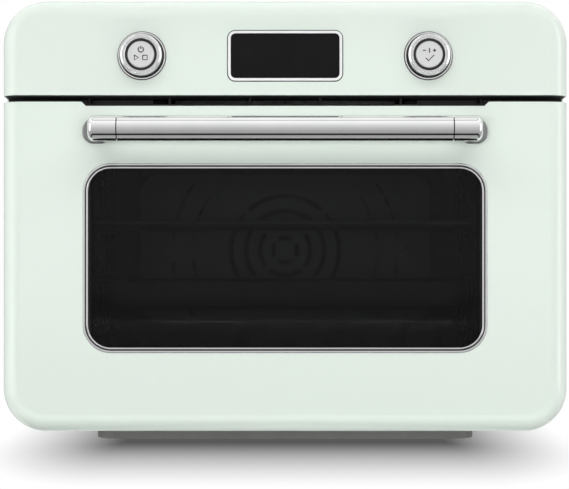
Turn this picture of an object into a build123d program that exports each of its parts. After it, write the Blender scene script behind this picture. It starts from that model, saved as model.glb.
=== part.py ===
"""Countertop toaster oven with a drop-down door, a fan-forced cavity and a push-button control panel.

Frame: +X to the oven's right as its user faces it, +Y towards the back, +Z up, millimetres. The origin is
the centre of the oven's footprint on the worktop. Each function below makes one sub-part or one group of
like pieces.
"""
import math
import os

from build123d import *

# ---------------------------------------------------------------- overall size
WIDTH, DEPTH, HEIGHT = 496.0, 480.0, 387.0
FRONT_END, BACK_END = -DEPTH / 2, DEPTH / 2
HANDLE_REACH = 45.0
FACE_Y = FRONT_END + HANDLE_REACH          # painted face of the door and the control fascia
BODY_Z = 8.6                               # underside of the body above the worktop
CORNER_R, EDGE_R = 38.0, 17.0              # outline corners, and the roll of the front edge
SKIN, SHEET = 1.5, 1.2                     # front mouldings, and the cabinet's sheet steel

# ---------------------------------------------------------------- door and fascia
DOOR_TOP, DOOR_BACK = 297.5, FACE_Y + 34.0
FASCIA_Z, FASCIA_BACK = 303.2, FACE_Y + 36.0
NOTCH_Z, NOTCH_LOW_X, NOTCH_HIGH_X = 293.8, 174.0, 177.7
AXIS_Y, AXIS_Z = FACE_Y + EDGE_R, BODY_Z + EDGE_R   # the door turns about the centre of its lower front roll
WINDOW_Z, WINDOW_W, WINDOW_H, WINDOW_R = 161.0, 352.6, 164.9, 24.4
TRIM_LIP, TRIM_BAND = 1.3, 4.4
TRIM_GROOVE = (1.7, 2.9)                   # groove between the trim's two bands, from its outside
PANEL_Y = DOOR_BACK - 1.4                  # front of the door's inner panel
HINGE_X = 210.0

# ---------------------------------------------------------------- handle
BAR_R, BAR_WALL, BAR_HALF = 10.95, 1.5, 143.0
BAR_Z, BAR_Y = 271.7, FRONT_END + BAR_R
BAR_END, POST_X, POST_R = 168.2, 158.0, 9.8
FLANGE_X, FLANGE_W, FLANGE_H = 164.0, 26.0, 22.4
REVEAL, SPIGOT = 0.9, 7.0                  # open joint between bar and bracket, and its spigot

# ---------------------------------------------------------------- controls
KNOB_X, KNOB_Z = 125.0, 337.5
KNOB_R, SLEEVE_R, CAP_R = 18.6, 13.9, 11.6
BEZEL_R, KNOB_HOLE_R = 21.05, 20.0
KNOB_FRONT = FACE_Y - 12.0
STEM_R, STEM_BORE_R, PUSH_R = 6.0, 3.5, 3.2   # turning stem, its bore, and the push rod in it
DISPLAY_W, DISPLAY_H, DISPLAY_R = 99.8, 43.6, 6.5
BOARD_Y = -176.0

# ---------------------------------------------------------------- cavity and cabinet
CAVITY_X, CAVITY_Z0, CAVITY_Z1, CAVITY_R = 186.0, 60.0, 276.0, 14.0
FRAME_Y = FACE_Y + 38.5                    # front of the steel frame round the cavity
FRAME_T = 1.5
CAVITY_BACK = 188.0
LINER = 1.0
COVER_Y, FAN_Z = 160.0, 169.5
REAR_Y = 234.8
DECK_Z = 294.0
TRAY_X, TRAY_FRONT, TRAY_BACK = 168.0, FACE_Y + 23.0, -84.0
TRAY_RUN_FRONT = -146.0                    # front end of the tray's flanges and of their guides
FOOT_X, FRONT_FOOT_Y, REAR_FOOT_Y = 172.0, -66.0, 205.0
GLAND_X, GLAND_Z = 185.0, 46.0
LADDER_X, LADDER_WIRE = 180.2, 2.0
RACK_Z, PAN_Z = 190.0, 138.0               # ladder levels that the rack and the baking tray run on
LADDER_LEVELS = (86.0, PAN_Z, RACK_Z, 232.0)
RUN_GAP = 0.3                              # air left round what slides or turns
RING_R, RING_END = 68.0, 68.0              # ring heater: radius, and its ends' angle below level
HEATER_RUNS, HEATER_WIRE, GRILL_Z = tuple(range(-140, 141, 40)), 3.2, 262.0
TAIL_X, TAIL_Z = RING_R * math.cos(math.radians(RING_END)), 98.0
COVER_W, COVER_H, COVER_LIFT = 310.0, 158.0, 1.8      # fan cover, and its middle above the fan's centre
COVER_SCREW_X = 127.0
LAMP_Y, LAMP_Z = 80.0, 232.0
COOLER_Y, COOLER_Z, COOLER_R = 60.0, 338.0, 33.0      # cross-flow fan's axis, and the radius of its scroll


# ---------------------------------------------------------------- helpers
def block(x0, x1, y0, y1, z0, z1):
    """A box between two corners."""
    size = (x1 - x0, y1 - y0, z1 - z0)
    return Pos((x0 + x1) / 2, (y0 + y1) / 2, (z0 + z1) / 2) * Box(*size)


def along_y(sketch, y0, y1):
    """A sketch drawn as (x, z), extruded from y0 to y1."""
    return extrude(Plane.XZ.offset(-y1) * sketch, amount=y1 - y0)


def along_x(sketch, x0, x1):
    """A sketch drawn as (y, z), extruded from x0 to x1."""
    return extrude(Plane.YZ.offset(x0) * sketch, amount=x1 - x0)


def soft_rect(width, height, radius, x=0.0, z=0.0):
    return Pos(x, z) * RectangleRounded(width, height, radius)


def rod_y(x, z, radius, y0, y1):
    return along_y(Pos(x, z) * Circle(radius), y0, y1)


def rod_x(y, z, radius, x0, x1):
    return along_x(Pos(y, z) * Circle(radius), x0, x1)


def rod_z(x, y, radius, z0, z1):
    return Pos(x, y, (z0 + z1) / 2) * Cylinder(radius, z1 - z0)


def ring_y(x, z, outer, inner, y0, y1):
    return along_y(Pos(x, z) * (Circle(outer) - Circle(inner)), y0, y1)


def turned(points, x, z):
    """A solid turned about the line through (x, z) along Y, from (radius, y) points."""
    profile = make_face(Polyline(*points, close=True))
    solid = revolve(profile, Axis.Y)
    return Pos(x, 0, z) * solid


def wire_path(points, radii, wire_r):
    """Round wire along straight runs joined by tangent arcs."""
    path = FilletPolyline(*points, radius=radii)
    start = Plane(origin=path @ 0, z_dir=path % 0)
    return sweep(start * Circle(wire_r), path=path)


def mirrored(part):
    return mirror(part, about=Plane.YZ)


def fused(parts):
    """One solid from overlapping or touching pieces."""
    first, *rest = parts
    return first.fuse(*rest) if rest else first


def save(name, shape):
    """Writes one sub-part: a solid, or a list of like solids."""
    pieces = shape if isinstance(shape, (list, tuple)) else [shape]
    solids = [solid for piece in pieces for solid in piece.solids()]
    whole = Compound(children=[Solid(solid.wrapped) for solid in solids]) if len(solids) > 1 else solids[0]
    export_step(whole, f"parts/{name}.step")


# ---------------------------------------------------------------- painted front mouldings
def front_form(inset, back):
    """The full front shape, corner to corner, drawn in by inset, from its rolled front edge to back."""
    height = HEIGHT - BODY_Z - 2 * inset
    outline = soft_rect(WIDTH - 2 * inset, height, CORNER_R - inset, 0, (HEIGHT + BODY_Z) / 2)
    form = along_y(outline, FACE_Y + inset, back)
    front_edges = form.faces().sort_by(Axis.Y)[0].edges()
    return fillet(front_edges, EDGE_R - inset)


def notch_form(grow, bottom):
    """The shallow dip in the door's top edge, below the air outlet."""
    low, high, top = NOTCH_LOW_X + grow, NOTCH_HIGH_X + grow, DOOR_TOP + 20
    rise = (DOOR_TOP - NOTCH_Z) + (bottom - NOTCH_Z)
    right = [(low, bottom), (high, bottom + rise), (high, top)]
    left = [(-x, z) for x, z in reversed(right)]
    return along_y(make_face(Polyline(*right, *left, close=True)), FACE_Y - 5, DOOR_BACK + 5)


def make_door_shell():
    outer = front_form(0, DOOR_BACK) & block(-300, 300, -300, 0, 0, DOOR_TOP)
    outer -= notch_form(0, NOTCH_Z)
    inner = front_form(SKIN, DOOR_BACK + 2) & block(-300, 300, -300, 0, 0, DOOR_TOP - SKIN)
    inner -= notch_form(SKIN, NOTCH_Z - SKIN)
    shell = outer - inner
    opening = soft_rect(WINDOW_W - 2 * TRIM_LIP, WINDOW_H - 2 * TRIM_LIP, WINDOW_R - TRIM_LIP, 0, WINDOW_Z)
    shell -= along_y(opening, FACE_Y - 5, FACE_Y + 5)
    for side in (-1, 1):
        shell -= rod_y(side * POST_X, BAR_Z, 2.8, FACE_Y - 5, FACE_Y + 5)
    return shell


def make_control_fascia():
    outer = front_form(0, FASCIA_BACK) & block(-300, 300, -300, 0, FASCIA_Z, 400)
    inner = front_form(SKIN, FASCIA_BACK + 2) & block(-300, 300, -300, 0, FASCIA_Z + SKIN, 400)
    shell = outer - inner
    opening = soft_rect(DISPLAY_W - 2.8, DISPLAY_H - 2.8, DISPLAY_R - 1.4, 0, KNOB_Z)
    shell -= along_y(opening, FACE_Y - 5, FACE_Y + 5)
    for side in (-1, 1):
        shell -= rod_y(side * KNOB_X, KNOB_Z, KNOB_HOLE_R, FACE_Y - 5, FACE_Y + 5)
    places = [(x, z) for x in (-158, -80, 80, 158) for z in (312, 368)]
    bosses = [rod_y(x, z, 3.0, FACE_Y + SKIN - 0.2, BOARD_Y) for x, z in places]
    return fused([shell, *bosses])


# ---------------------------------------------------------------- door
def make_window_trim():
    """Stepped frame: low outer band, groove, raised inner band, and a neck through the door's opening."""
    def frame(drop, y0, y1, inner):
        outside = soft_rect(WINDOW_W - 2 * drop, WINDOW_H - 2 * drop, WINDOW_R - drop, 0, WINDOW_Z)
        inside = soft_rect(WINDOW_W - 2 * inner, WINDOW_H - 2 * inner, WINDOW_R - inner, 0, WINDOW_Z)
        return along_y(outside - inside, y0, y1)

    groove_start, groove_end = TRIM_GROOVE
    low, high, floor = FACE_Y - 1.2, FACE_Y - 1.9, FACE_Y - 0.4
    outer_band = frame(0, low, floor, groove_start)
    outer_band = fillet(outer_band.faces().sort_by(Axis.Y)[0].edges(), 0.5)
    inner_band = frame(groove_end, high, floor, TRIM_BAND)
    inner_band = fillet(inner_band.faces().sort_by(Axis.Y)[0].edges(), 0.5)
    base = frame(0, floor, FACE_Y, TRIM_BAND)
    neck = frame(TRIM_LIP + 0.1, FACE_Y, FACE_Y + SKIN, TRIM_BAND)
    return fused([base, outer_band, inner_band, neck])


def make_outer_glass():
    return along_y(soft_rect(362, 174, 26, 0, WINDOW_Z), FACE_Y + SKIN, FACE_Y + SKIN + 4)


def make_inner_glass():
    return along_y(soft_rect(356, 178, 18, 0, WINDOW_Z), PANEL_Y - 4, PANEL_Y)


def make_glass_retainers():
    """Two posts that hold the outer pane forward and the inner pane back."""
    front, back = FACE_Y + SKIN + 4, PANEL_Y - 4
    posts = []
    for side in (-1, 1):
        x = side * 177.0
        web = block(x - 1.0, x + 1.0, front, back, 92, 230)
        pads = [block(x - 4, x + 4, y, y + 1.5, 92, 230) for y in (front, back - 1.5)]
        posts.append(fused([web, *pads]))
    return posts


def make_door_inner_panel():
    outline = front_form(SKIN + 0.4, DOOR_BACK) & block(-300, 300, -300, 0, 0, DOOR_TOP - SKIN - 0.4)
    outline -= notch_form(SKIN + 0.4, NOTCH_Z - SKIN - 0.4)
    panel = outline & block(-300, 300, PANEL_Y, PANEL_Y + 1.2, 0, 400)
    panel -= along_y(soft_rect(340, 162, 12, 0, WINDOW_Z), PANEL_Y - 5, PANEL_Y + 5)
    for side in (-1, 1):
        x = side * HINGE_X
        panel -= block(x - 3, x + 3, PANEL_Y - 5, PANEL_Y + 5, 0, 54)
    return panel


def make_hinge_knuckle():
    """Two ears round the fixed leaf, joined above the slot by a plate on the inner panel."""
    ear = make_face(Polyline((AXIS_Y - 5, AXIS_Z), (AXIS_Y - 5, AXIS_Z + 6), (PANEL_Y - 1.5, 80),
                             (PANEL_Y, 80), (PANEL_Y, 30), (AXIS_Y + 5, AXIS_Z), close=True))
    ear += Pos(AXIS_Y, AXIS_Z) * Circle(5)
    ears = [along_x(ear, HINGE_X + dx, HINGE_X + dx + 1.5) for dx in (-4.8, 3.3)]
    plate = block(HINGE_X - 12, HINGE_X + 12, PANEL_Y - 1.5, PANEL_Y, 56, 80)
    knuckle = fused([plate, *ears])
    return knuckle - rod_x(AXIS_Y, AXIS_Z, 2.5, HINGE_X - 10, HINGE_X + 10)


def make_hinge_pin():
    return rod_x(AXIS_Y, AXIS_Z, 2.5, HINGE_X - 4.8, HINGE_X + 4.8)


def make_hinge_leaf():
    """Fixed arm that reaches into the door at 50 degrees, so that it clears the door's lower edge."""
    lift = math.radians(50)
    along, across = (math.cos(lift), math.sin(lift)), (-math.sin(lift), math.cos(lift))
    corners = []
    for reach, side in ((0, -2.5), (36, -2.5), (36, 2.5), (0, 2.5)):
        y = AXIS_Y + along[0] * reach + across[0] * side
        z = AXIS_Z + along[1] * reach + across[1] * side
        corners.append((y, z))
    arm = make_face(Polyline(*corners, close=True)) + Pos(AXIS_Y, AXIS_Z) * Circle(5.5)
    root = make_face(Polyline((-157.5, 49.2), (-152.0, 47.0), (-118, 47.0), (-118, 88), (-155, 88),
                              (-155, 59.6), (-157.5, 57.6), close=True))
    leaf = along_x(arm + root, HINGE_X - 1.5, HINGE_X + 1.5)
    foot = block(HINGE_X + 1.5, HINGE_X + 16, FRAME_Y + FRAME_T, FRAME_Y + FRAME_T + 1.5, 62, 88)
    leaf = fused([leaf, foot])
    return leaf - rod_x(AXIS_Y, AXIS_Z, 2.55, HINGE_X - 10, HINGE_X + 10)


def make_handle_bar():
    return rod_x(BAR_Y, BAR_Z, BAR_R, -BAR_HALF, BAR_HALF) - rod_x(BAR_Y, BAR_Z, BAR_R - BAR_WALL, -200, 200)


def make_handle_bracket():
    """Cast end of the handle: a blunt bar end with a spigot into the tube, a post, and a flange."""
    start = BAR_HALF + REVEAL
    bar_end = rod_x(BAR_Y, BAR_Z, BAR_R, start, BAR_END)
    bar_end = fillet(bar_end.faces().sort_by(Axis.X)[-1].edges(), 5.0)
    spigot = rod_x(BAR_Y, BAR_Z, BAR_R - BAR_WALL - 0.05, BAR_HALF - SPIGOT, start + 1)
    post = rod_y(POST_X, BAR_Z, POST_R, BAR_Y, FACE_Y - 1.0)
    outline = soft_rect(FLANGE_W, FLANGE_H, FLANGE_H / 2 - 0.7, FLANGE_X, BAR_Z)
    flange = along_y(outline, FACE_Y - 3.5, FACE_Y)
    flange = fillet(flange.faces().sort_by(Axis.Y)[0].edges(), 1.5)
    bracket = fused([bar_end, spigot, post, flange])
    return bracket - rod_y(POST_X, BAR_Z, 2.5, FACE_Y - 16, FACE_Y + 1)


def make_handle_screw():
    head = rod_y(POST_X, BAR_Z, 4.5, FACE_Y + SKIN, FACE_Y + SKIN + 3)
    return fused([head, rod_y(POST_X, BAR_Z, 2.4, FACE_Y - 14, FACE_Y + SKIN)])


# ---------------------------------------------------------------- controls
def make_knob_bezel(x):
    lip = ring_y(x, KNOB_Z, BEZEL_R, KNOB_R + 0.4, FACE_Y - 1.6, FACE_Y)
    lip = chamfer(lip.faces().sort_by(Axis.Y)[0].outer_wire().edges(), 0.7)
    neck = ring_y(x, KNOB_Z, KNOB_HOLE_R, KNOB_R + 0.4, FACE_Y, FACE_Y + 3)
    return fused([lip, neck])


def make_knob_ring(x):
    front = KNOB_FRONT
    profile = [(SLEEVE_R, front + 0.4), (SLEEVE_R + 0.4, front), (16.4, front), (17.8, front + 1.0),
               (KNOB_R, front + 3.2), (KNOB_R, FACE_Y + 1.0), (17.4, FACE_Y + 1.0), (17.4, front + 6.5),
               (SLEEVE_R, front + 6.5)]
    return turned(profile, x, KNOB_Z)


def make_knob_core(x):
    front = KNOB_FRONT + 0.9
    base = FACE_Y + 1.5
    bore, stem_end = CAP_R + RUN_GAP, base + 14.5
    profile = [(bore, front), (SLEEVE_R, front), (SLEEVE_R, base + 1.5), (STEM_R, base + 1.5),
               (STEM_R, stem_end), (STEM_BORE_R, stem_end), (STEM_BORE_R, base), (bore, base)]
    return turned(profile, x, KNOB_Z)


def make_button(x):
    front = KNOB_FRONT + 0.3
    cap_back, rod_end = front + 3, front + 26.5
    profile = [(0, front), (CAP_R - 0.6, front), (CAP_R, front + 0.6), (CAP_R, cap_back), (PUSH_R, cap_back),
               (PUSH_R, rod_end), (0, rod_end)]
    return turned(profile, x, KNOB_Z)


def make_button_spring(x):
    wire, front, back = 0.45, KNOB_FRONT + 3.3, FACE_Y + 1.5
    start, height, radius, turns = front + 0.5, back - front - 1.0, 6.5, 5
    coil = Helix(pitch=height / turns, height=height, radius=radius)
    solid = sweep(Plane(origin=coil @ 0, z_dir=coil % 0) * Circle(wire), path=coil, is_frenet=True)
    return Pos(x, start, KNOB_Z) * Rot(-90, 0, 0) * solid


def make_encoder(x):
    body = block(x - 13, x + 13, BOARD_Y - 8, BOARD_Y, KNOB_Z - 13, KNOB_Z + 13)
    body = fillet(body.edges().filter_by(Axis.Y), 2)
    body -= rod_y(x, KNOB_Z, STEM_R + 0.05, BOARD_Y - 10, BOARD_Y - 1.2)
    return fused([body, rod_y(x, KNOB_Z, 2.5, BOARD_Y - 2.4, BOARD_Y - 1.0)])


def make_display_bezel():
    lip_face = soft_rect(DISPLAY_W, DISPLAY_H, DISPLAY_R, 0, KNOB_Z)
    hole = soft_rect(DISPLAY_W - 4.8, DISPLAY_H - 4.4, DISPLAY_R - 2.2, 0, KNOB_Z)
    neck = soft_rect(DISPLAY_W - 3.0, DISPLAY_H - 3.0, DISPLAY_R - 1.5, 0, KNOB_Z)
    lip = along_y(lip_face - hole, FACE_Y - 1.4, FACE_Y)
    lip = fillet(lip.faces().sort_by(Axis.Y)[0].outer_wire().edges(), 0.7)
    return fused([lip, along_y(neck - hole, FACE_Y, FACE_Y + 3.5)])


def make_display_glass():
    pane = soft_rect(DISPLAY_W - 5.0, DISPLAY_H - 4.6, DISPLAY_R - 2.3, 0, KNOB_Z)
    return along_y(pane, FACE_Y - 0.4, FACE_Y + 2.0)


def make_display_module():
    panel = block(-49, 49, FACE_Y + 3.5, FACE_Y + 9.5, KNOB_Z - 21, KNOB_Z + 21)
    posts = [rod_y(x, KNOB_Z + dz, 1.8, FACE_Y + 9.0, BOARD_Y) for x in (-42, 42) for dz in (-16, 16)]
    return fused([panel, *posts])


def make_control_board():
    board = block(-168, 168, BOARD_Y, BOARD_Y + 1.6, 307, 373)
    layout = ((-60, 14, 340, 14), (-20, 28, 318, 10), (40, 10, 344, 10), (100, 34, 312, 9))
    chips = [block(x, x + w, BOARD_Y + 1.4, BOARD_Y + 4.5, z, z + h) for x, w, z, h in layout]
    return fused([board, *chips])


def make_vent_grille():
    """Air outlet under the fascia: a black duct mouth with five windows, and a thin plate to its edges."""
    y0, y1, z0, z1 = FACE_Y + 18, FRAME_Y, 295.4, FASCIA_Z
    plate_t, plate_inset = 1.0, 1.8
    plate = front_form(plate_inset, FASCIA_BACK) & block(-300, 300, -300, 0, z1 - plate_t, z1)
    mouth = block(-173, 173, y0, y1, z0, z1)
    ribs = (-173, -102, -31, 31, 102, 173)
    for left, right in zip(ribs, ribs[1:]):
        mouth -= block(left + 0.9, right - 0.9, y0 - 1, y1 + 1, z0 + 1.5, z1 - 1.2)
    return fused([mouth, plate])


# ---------------------------------------------------------------- cabinet
def make_cabinet_shell():
    """Wrapped sheet: top, sides and rolled lower corners, open below between its two flanges."""
    height = HEIGHT - BODY_Z
    outer = soft_rect(WIDTH, height, CORNER_R, 0, BODY_Z + height / 2)
    inner = soft_rect(WIDTH - 2 * SHEET, height - 2 * SHEET, CORNER_R - SHEET, 0, BODY_Z + height / 2)
    shell = along_y(outer - inner, FASCIA_BACK, REAR_Y)
    shell -= block(-200, 200, -300, 300, 0, 20)
    for side in (-1, 1):
        low, high = sorted((side * 199, side * 214))
        shell -= block(low, high, -300, -152, 0, 13)
    return shell


def make_base_plate():
    z = BODY_Z + SHEET
    plate = block(-208, 208, -150, REAR_Y, z, z + SHEET)
    for x in range(-110, 111, 20):
        for y in (10, 60, 150):
            plate -= block(x - 2, x + 2, y - 14, y + 14, z - 1, z + 3)
    return fused([plate, *make_tray_guides()])


def make_rear_panel():
    height = HEIGHT - BODY_Z - SHEET
    outline = soft_rect(WIDTH - SHEET, height, CORNER_R - SHEET / 2, 0, (HEIGHT + BODY_Z) / 2)
    panel = along_y(outline, REAR_Y, REAR_Y + SHEET)
    for column in (-95, 0, 95):
        for row in range(9):
            panel -= block(column - 36, column + 36, REAR_Y - 1, REAR_Y + 2, 300 + row * 8, 303 + row * 8)
    for row in range(7):
        panel -= block(-30, 30, REAR_Y - 1, REAR_Y + 2, 140 + row * 8, 143 + row * 8)
    panel -= rod_y(GLAND_X, GLAND_Z, 8.0, REAR_Y - 1, REAR_Y + 2)
    return panel


def make_cord_gland():
    flange = rod_y(GLAND_X, GLAND_Z, 12.5, REAR_Y + 1.2, BACK_END)
    flange = chamfer(flange.faces().sort_by(Axis.Y)[-1].edges(), 1.0)
    gland = fused([flange, rod_y(GLAND_X, GLAND_Z, 7.8, REAR_Y - 8, REAR_Y + 1.2)])
    return gland - rod_y(GLAND_X, GLAND_Z, 4.0, REAR_Y - 10, BACK_END + 1)


def make_front_frame():
    """Steel frame behind the door, with the cavity's mouth, the air slot and the two hinge notches."""
    y1 = FRAME_Y + FRAME_T
    height = HEIGHT - BODY_Z - 2 * SHEET
    outline = soft_rect(WIDTH - 2 * SHEET, height, CORNER_R - SHEET, 0, (HEIGHT + BODY_Z) / 2)
    frame = along_y(outline, FRAME_Y, y1) & block(-300, 300, -300, 300, 46, 400)
    mouth = soft_rect(2 * CAVITY_X + 2 * LINER, CAVITY_Z1 - CAVITY_Z0 + 2 * LINER, CAVITY_R + LINER, 0,
                      (CAVITY_Z0 + CAVITY_Z1) / 2)
    frame -= along_y(mouth, FRAME_Y - 1, y1 + 1)
    frame -= block(-118, 118, FRAME_Y - 1, y1 + 1, 297, 302)
    frame -= block(-170, 170, FRAME_Y - 1, y1 + 1, 306, 376)
    for side in (-1, 1):
        x = side * HINGE_X
        frame -= block(x - 2.5, x + 2.5, FRAME_Y - 1, y1 + 1, 40, 60)
    return frame


def make_door_gasket():
    centre = (CAVITY_Z0 + CAVITY_Z1) / 2
    outer = soft_rect(2 * CAVITY_X + 24, CAVITY_Z1 - CAVITY_Z0 + 22, 22, 0, centre)
    inner = soft_rect(2 * CAVITY_X + 8, CAVITY_Z1 - CAVITY_Z0 + 6, 16, 0, centre)
    ring = along_y(outer - inner, DOOR_BACK + RUN_GAP, FRAME_Y)
    return fillet(ring.faces().sort_by(Axis.Y)[0].edges(), 1.5)


def make_upper_deck():
    """Steel shelf over the cavity that carries the cooling fan and the power board."""
    deck = block(-244, 244, FRAME_Y + FRAME_T, 200, DECK_Z, DECK_Z + SHEET)
    rims = [block(x, x + SHEET, FRAME_Y + FRAME_T, 200, DECK_Z, DECK_Z + 14) for x in (-244, 244 - SHEET)]
    deck = fused([deck, *rims])
    for x in range(-210, -139, 14):
        deck -= block(x - 2, x + 2, 60, 150, DECK_Z - 1, DECK_Z + 3)
    return deck


def make_cooling_housing():
    """Scroll housing of the cross-flow fan, with a flat duct forward to the air slot in the front frame."""
    y, z, r = COOLER_Y, COOLER_Z, COOLER_R
    floor = DECK_Z + SHEET
    front, back = FRAME_Y + FRAME_T, y + 12
    outside = Pos(y, z) * Circle(r) + make_face(Polyline(
        (front, floor), (back, floor), (back, z), (y - r, z), (y - r, 330), (front, 304), close=True))
    front, back, floor, r = FRAME_Y - 5, back - SHEET, floor + SHEET, r - SHEET
    inside = Pos(y, z) * Circle(r) + make_face(Polyline(
        (front, floor), (back, floor), (back, z), (y - r, z), (y - r, 328.5), (front, 302.2), close=True))
    housing = along_x(outside, -120, 120) - along_x(inside, -120 + SHEET, 120 - SHEET)
    inlets = rod_x(y, z, 20, -130, 130)
    return housing - inlets


def make_cooling_wheel():
    """Squirrel-cage wheel: two end discs, a shaft and a ring of forward-curved blades."""
    y, z, half = COOLER_Y, COOLER_Z, 112.0
    discs = [rod_x(y, z, 26, x, x + 1.5) for x in (-half, -0.75, half - 1.5)]
    shaft = rod_x(y, z, 3, -half - 14, half + 14)
    blade_profile = Pos(22.0, 0) * Rot(0, 0, 35) * Rectangle(7.0, 1.0)
    turns = [Pos(y, z) * Rot(0, 0, turn) for turn in range(0, 360, 24)]
    blades = [along_x(turn * blade_profile, -half, half) for turn in turns]
    return fused([*discs, shaft, *blades])


def make_cooling_motor():
    y, z = COOLER_Y, COOLER_Z
    body = rod_x(y, z, 19, 124.5, 150)
    foot = block(126, 148, y - 10, y + 10, DECK_Z + SHEET, z)
    motor = fused([body, foot])
    return motor - rod_x(y, z, 3.05, 120, 145)


def make_power_board():
    z = DECK_Z + SHEET
    board = block(160, 238, -90, 20, z + 8, z + 9.6)
    posts = [rod_z(x, y, 3, z, z + 8) for x in (166, 232) for y in (-84, 14)]
    parts = [block(168, 196, -80, -46, z + 9, z + 34), block(204, 230, -76, -52, z + 9, z + 27),
             block(170, 184, -30, 10, z + 9, z + 24), rod_z(214, -20, 9, z + 9, z + 36),
             rod_z(214, 4, 7, z + 9, z + 30)]
    return fused([board, *posts, *parts])


def make_rubber_feet():
    feet = []
    for x in (-FOOT_X, FOOT_X):
        for y in (FRONT_FOOT_Y, REAR_FOOT_Y):
            foot = Pos(x, y, (BODY_Z + SHEET) / 2) * Rot(180, 0, 0) * Cone(13.5, 11.5, BODY_Z + SHEET)
            feet.append(foot)
    return feet


def make_cabinet_screws():
    """Pan-head screws: eight into the rear panel, four up through the base plate."""
    screws = []
    for x in (-225, -80, 80, 225):
        for z in (40, 280):
            head = rod_y(x, z, 3.5, REAR_Y + 1.2, REAR_Y + 3.4)
            screws.append(fillet(head.faces().sort_by(Axis.Y)[-1].edges(), 1.0))
    for x in (-140, 140):
        for y in (-30, 120):
            screws.append(rod_z(x, y, 3.5, BODY_Z + SHEET - 2.2, BODY_Z + SHEET))
    return screws


# ---------------------------------------------------------------- cavity
def make_cavity_wrap():
    centre, height = (CAVITY_Z0 + CAVITY_Z1) / 2, CAVITY_Z1 - CAVITY_Z0
    outer = soft_rect(2 * CAVITY_X + 2 * LINER, height + 2 * LINER, CAVITY_R + LINER, 0, centre)
    inner = soft_rect(2 * CAVITY_X, height, CAVITY_R, 0, centre)
    wrap = along_y(outer - inner, FRAME_Y, CAVITY_BACK)
    return wrap - rod_x(LAMP_Y, LAMP_Z, 18.2, -200, -180)


def make_cavity_rear_wall():
    centre, height = (CAVITY_Z0 + CAVITY_Z1) / 2, CAVITY_Z1 - CAVITY_Z0
    outline = soft_rect(2 * CAVITY_X + 2 * LINER, height + 2 * LINER, CAVITY_R + LINER, 0, centre)
    wall = along_y(outline, CAVITY_BACK, CAVITY_BACK + LINER)
    wall -= rod_y(0, FAN_Z, 6, CAVITY_BACK - 1, CAVITY_BACK + 3)
    for side in (-1, 1):
        for x, z in ((HEATER_RUNS[-1], GRILL_Z), (TAIL_X, TAIL_Z)):
            wall -= rod_y(side * x, z, 4.2, CAVITY_BACK - 1, CAVITY_BACK + 3)
    return wall


def arc_slot(radius, width, start, sweep_angle):
    """A curved slot round the fan's centre, drawn as (x, z)."""
    ring = Circle(radius + width / 2) - Circle(radius - width / 2)
    reach = radius * 2
    points = [(0, 0)]
    steps = 6
    for i in range(steps + 1):
        turn = math.radians(start + sweep_angle * i / steps)
        points.append((reach * math.cos(turn), reach * math.sin(turn)))
    return ring & make_face(Polyline(*points, close=True))


def make_fan_cover():
    """Baffle in front of the convection fan: broken inlet rings in a raised dish, dashed outlet arcs."""
    middle = FAN_Z + COVER_LIFT
    outline = soft_rect(COVER_W, COVER_H, 20, 0, middle)
    plate = along_y(outline, COVER_Y, COVER_Y + LINER)
    inside = soft_rect(COVER_W - 2 * LINER, COVER_H - 2 * LINER, 20 - LINER, 0, middle)
    rim = along_y(outline - inside, COVER_Y, CAVITY_BACK)
    dish = ring_y(0, FAN_Z, 71, 69, COVER_Y - 2.5, COVER_Y + 0.2)
    cover = fused([plate, rim, dish])
    slots = []
    for radius, bridge in ((13, 30), (27, 12), (42, 8), (58, 6)):
        slots += [arc_slot(radius, 5.0, turn + bridge / 2, 90 - bridge) for turn in (45, 135, 225, 315)]
    dash = 6
    for radius in (99, 121):
        for start in (6, 14, 22, 30):
            turns = (start, -start - dash, 180 - start - dash, 180 + start)
            slots += [arc_slot(radius, 3.2, turn, dash) for turn in turns]
    for slot in slots:
        cover -= along_y(Pos(0, FAN_Z) * slot, COVER_Y - 5, COVER_Y + 5)
    for side in (-1, 1):
        cover -= rod_y(side * COVER_SCREW_X, FAN_Z, 2.6, COVER_Y - 5, COVER_Y + 5)
    return cover


def make_fan_cover_screws():
    screws = []
    for side in (-1, 1):
        head = rod_y(side * COVER_SCREW_X, FAN_Z, 6, COVER_Y - 4.5, COVER_Y)
        head = fillet(head.faces().sort_by(Axis.Y)[0].edges(), 1.2)
        screws.append(fused([head, rod_y(side * COVER_SCREW_X, FAN_Z, 2.5, COVER_Y, CAVITY_BACK)]))
    return screws


def make_fan_impeller():
    disc = rod_y(0, FAN_Z, 52, 179.5, 181)
    hub = rod_y(0, FAN_Z, 9, 167, 181)
    parts = [disc, hub]
    for turn in range(0, 360, 30):
        blade = block(16, 50, 167, 180, -0.8, 0.8)
        parts.append(Pos(0, 0, FAN_Z) * Rot(0, turn, 0) * Pos(0, 0, 4) * blade)
    return fused(parts) - rod_y(0, FAN_Z, 3, 160, 190)


def make_fan_shaft():
    return fused([rod_y(0, FAN_Z, 3, 164, 222), rod_y(0, FAN_Z, 5.5, 163, 167)])


def make_fan_motor():
    """Shaded-pole motor on a plate, stood off the back of the cavity by four posts."""
    plate = block(-45, 45, 196, 198, FAN_Z - 32, FAN_Z + 32)
    posts = [rod_y(x, FAN_Z + dz, 4, CAVITY_BACK + LINER, 196.5) for x in (-38, 38) for dz in (-25, 25)]
    stack = block(-30, 30, 203, 221, FAN_Z - 26, FAN_Z + 26)
    housing = rod_y(0, FAN_Z, 18, 198, 226)
    motor = fused([plate, *posts, stack, housing])
    return motor - rod_y(0, FAN_Z, 3.05, 190, 223)


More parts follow.
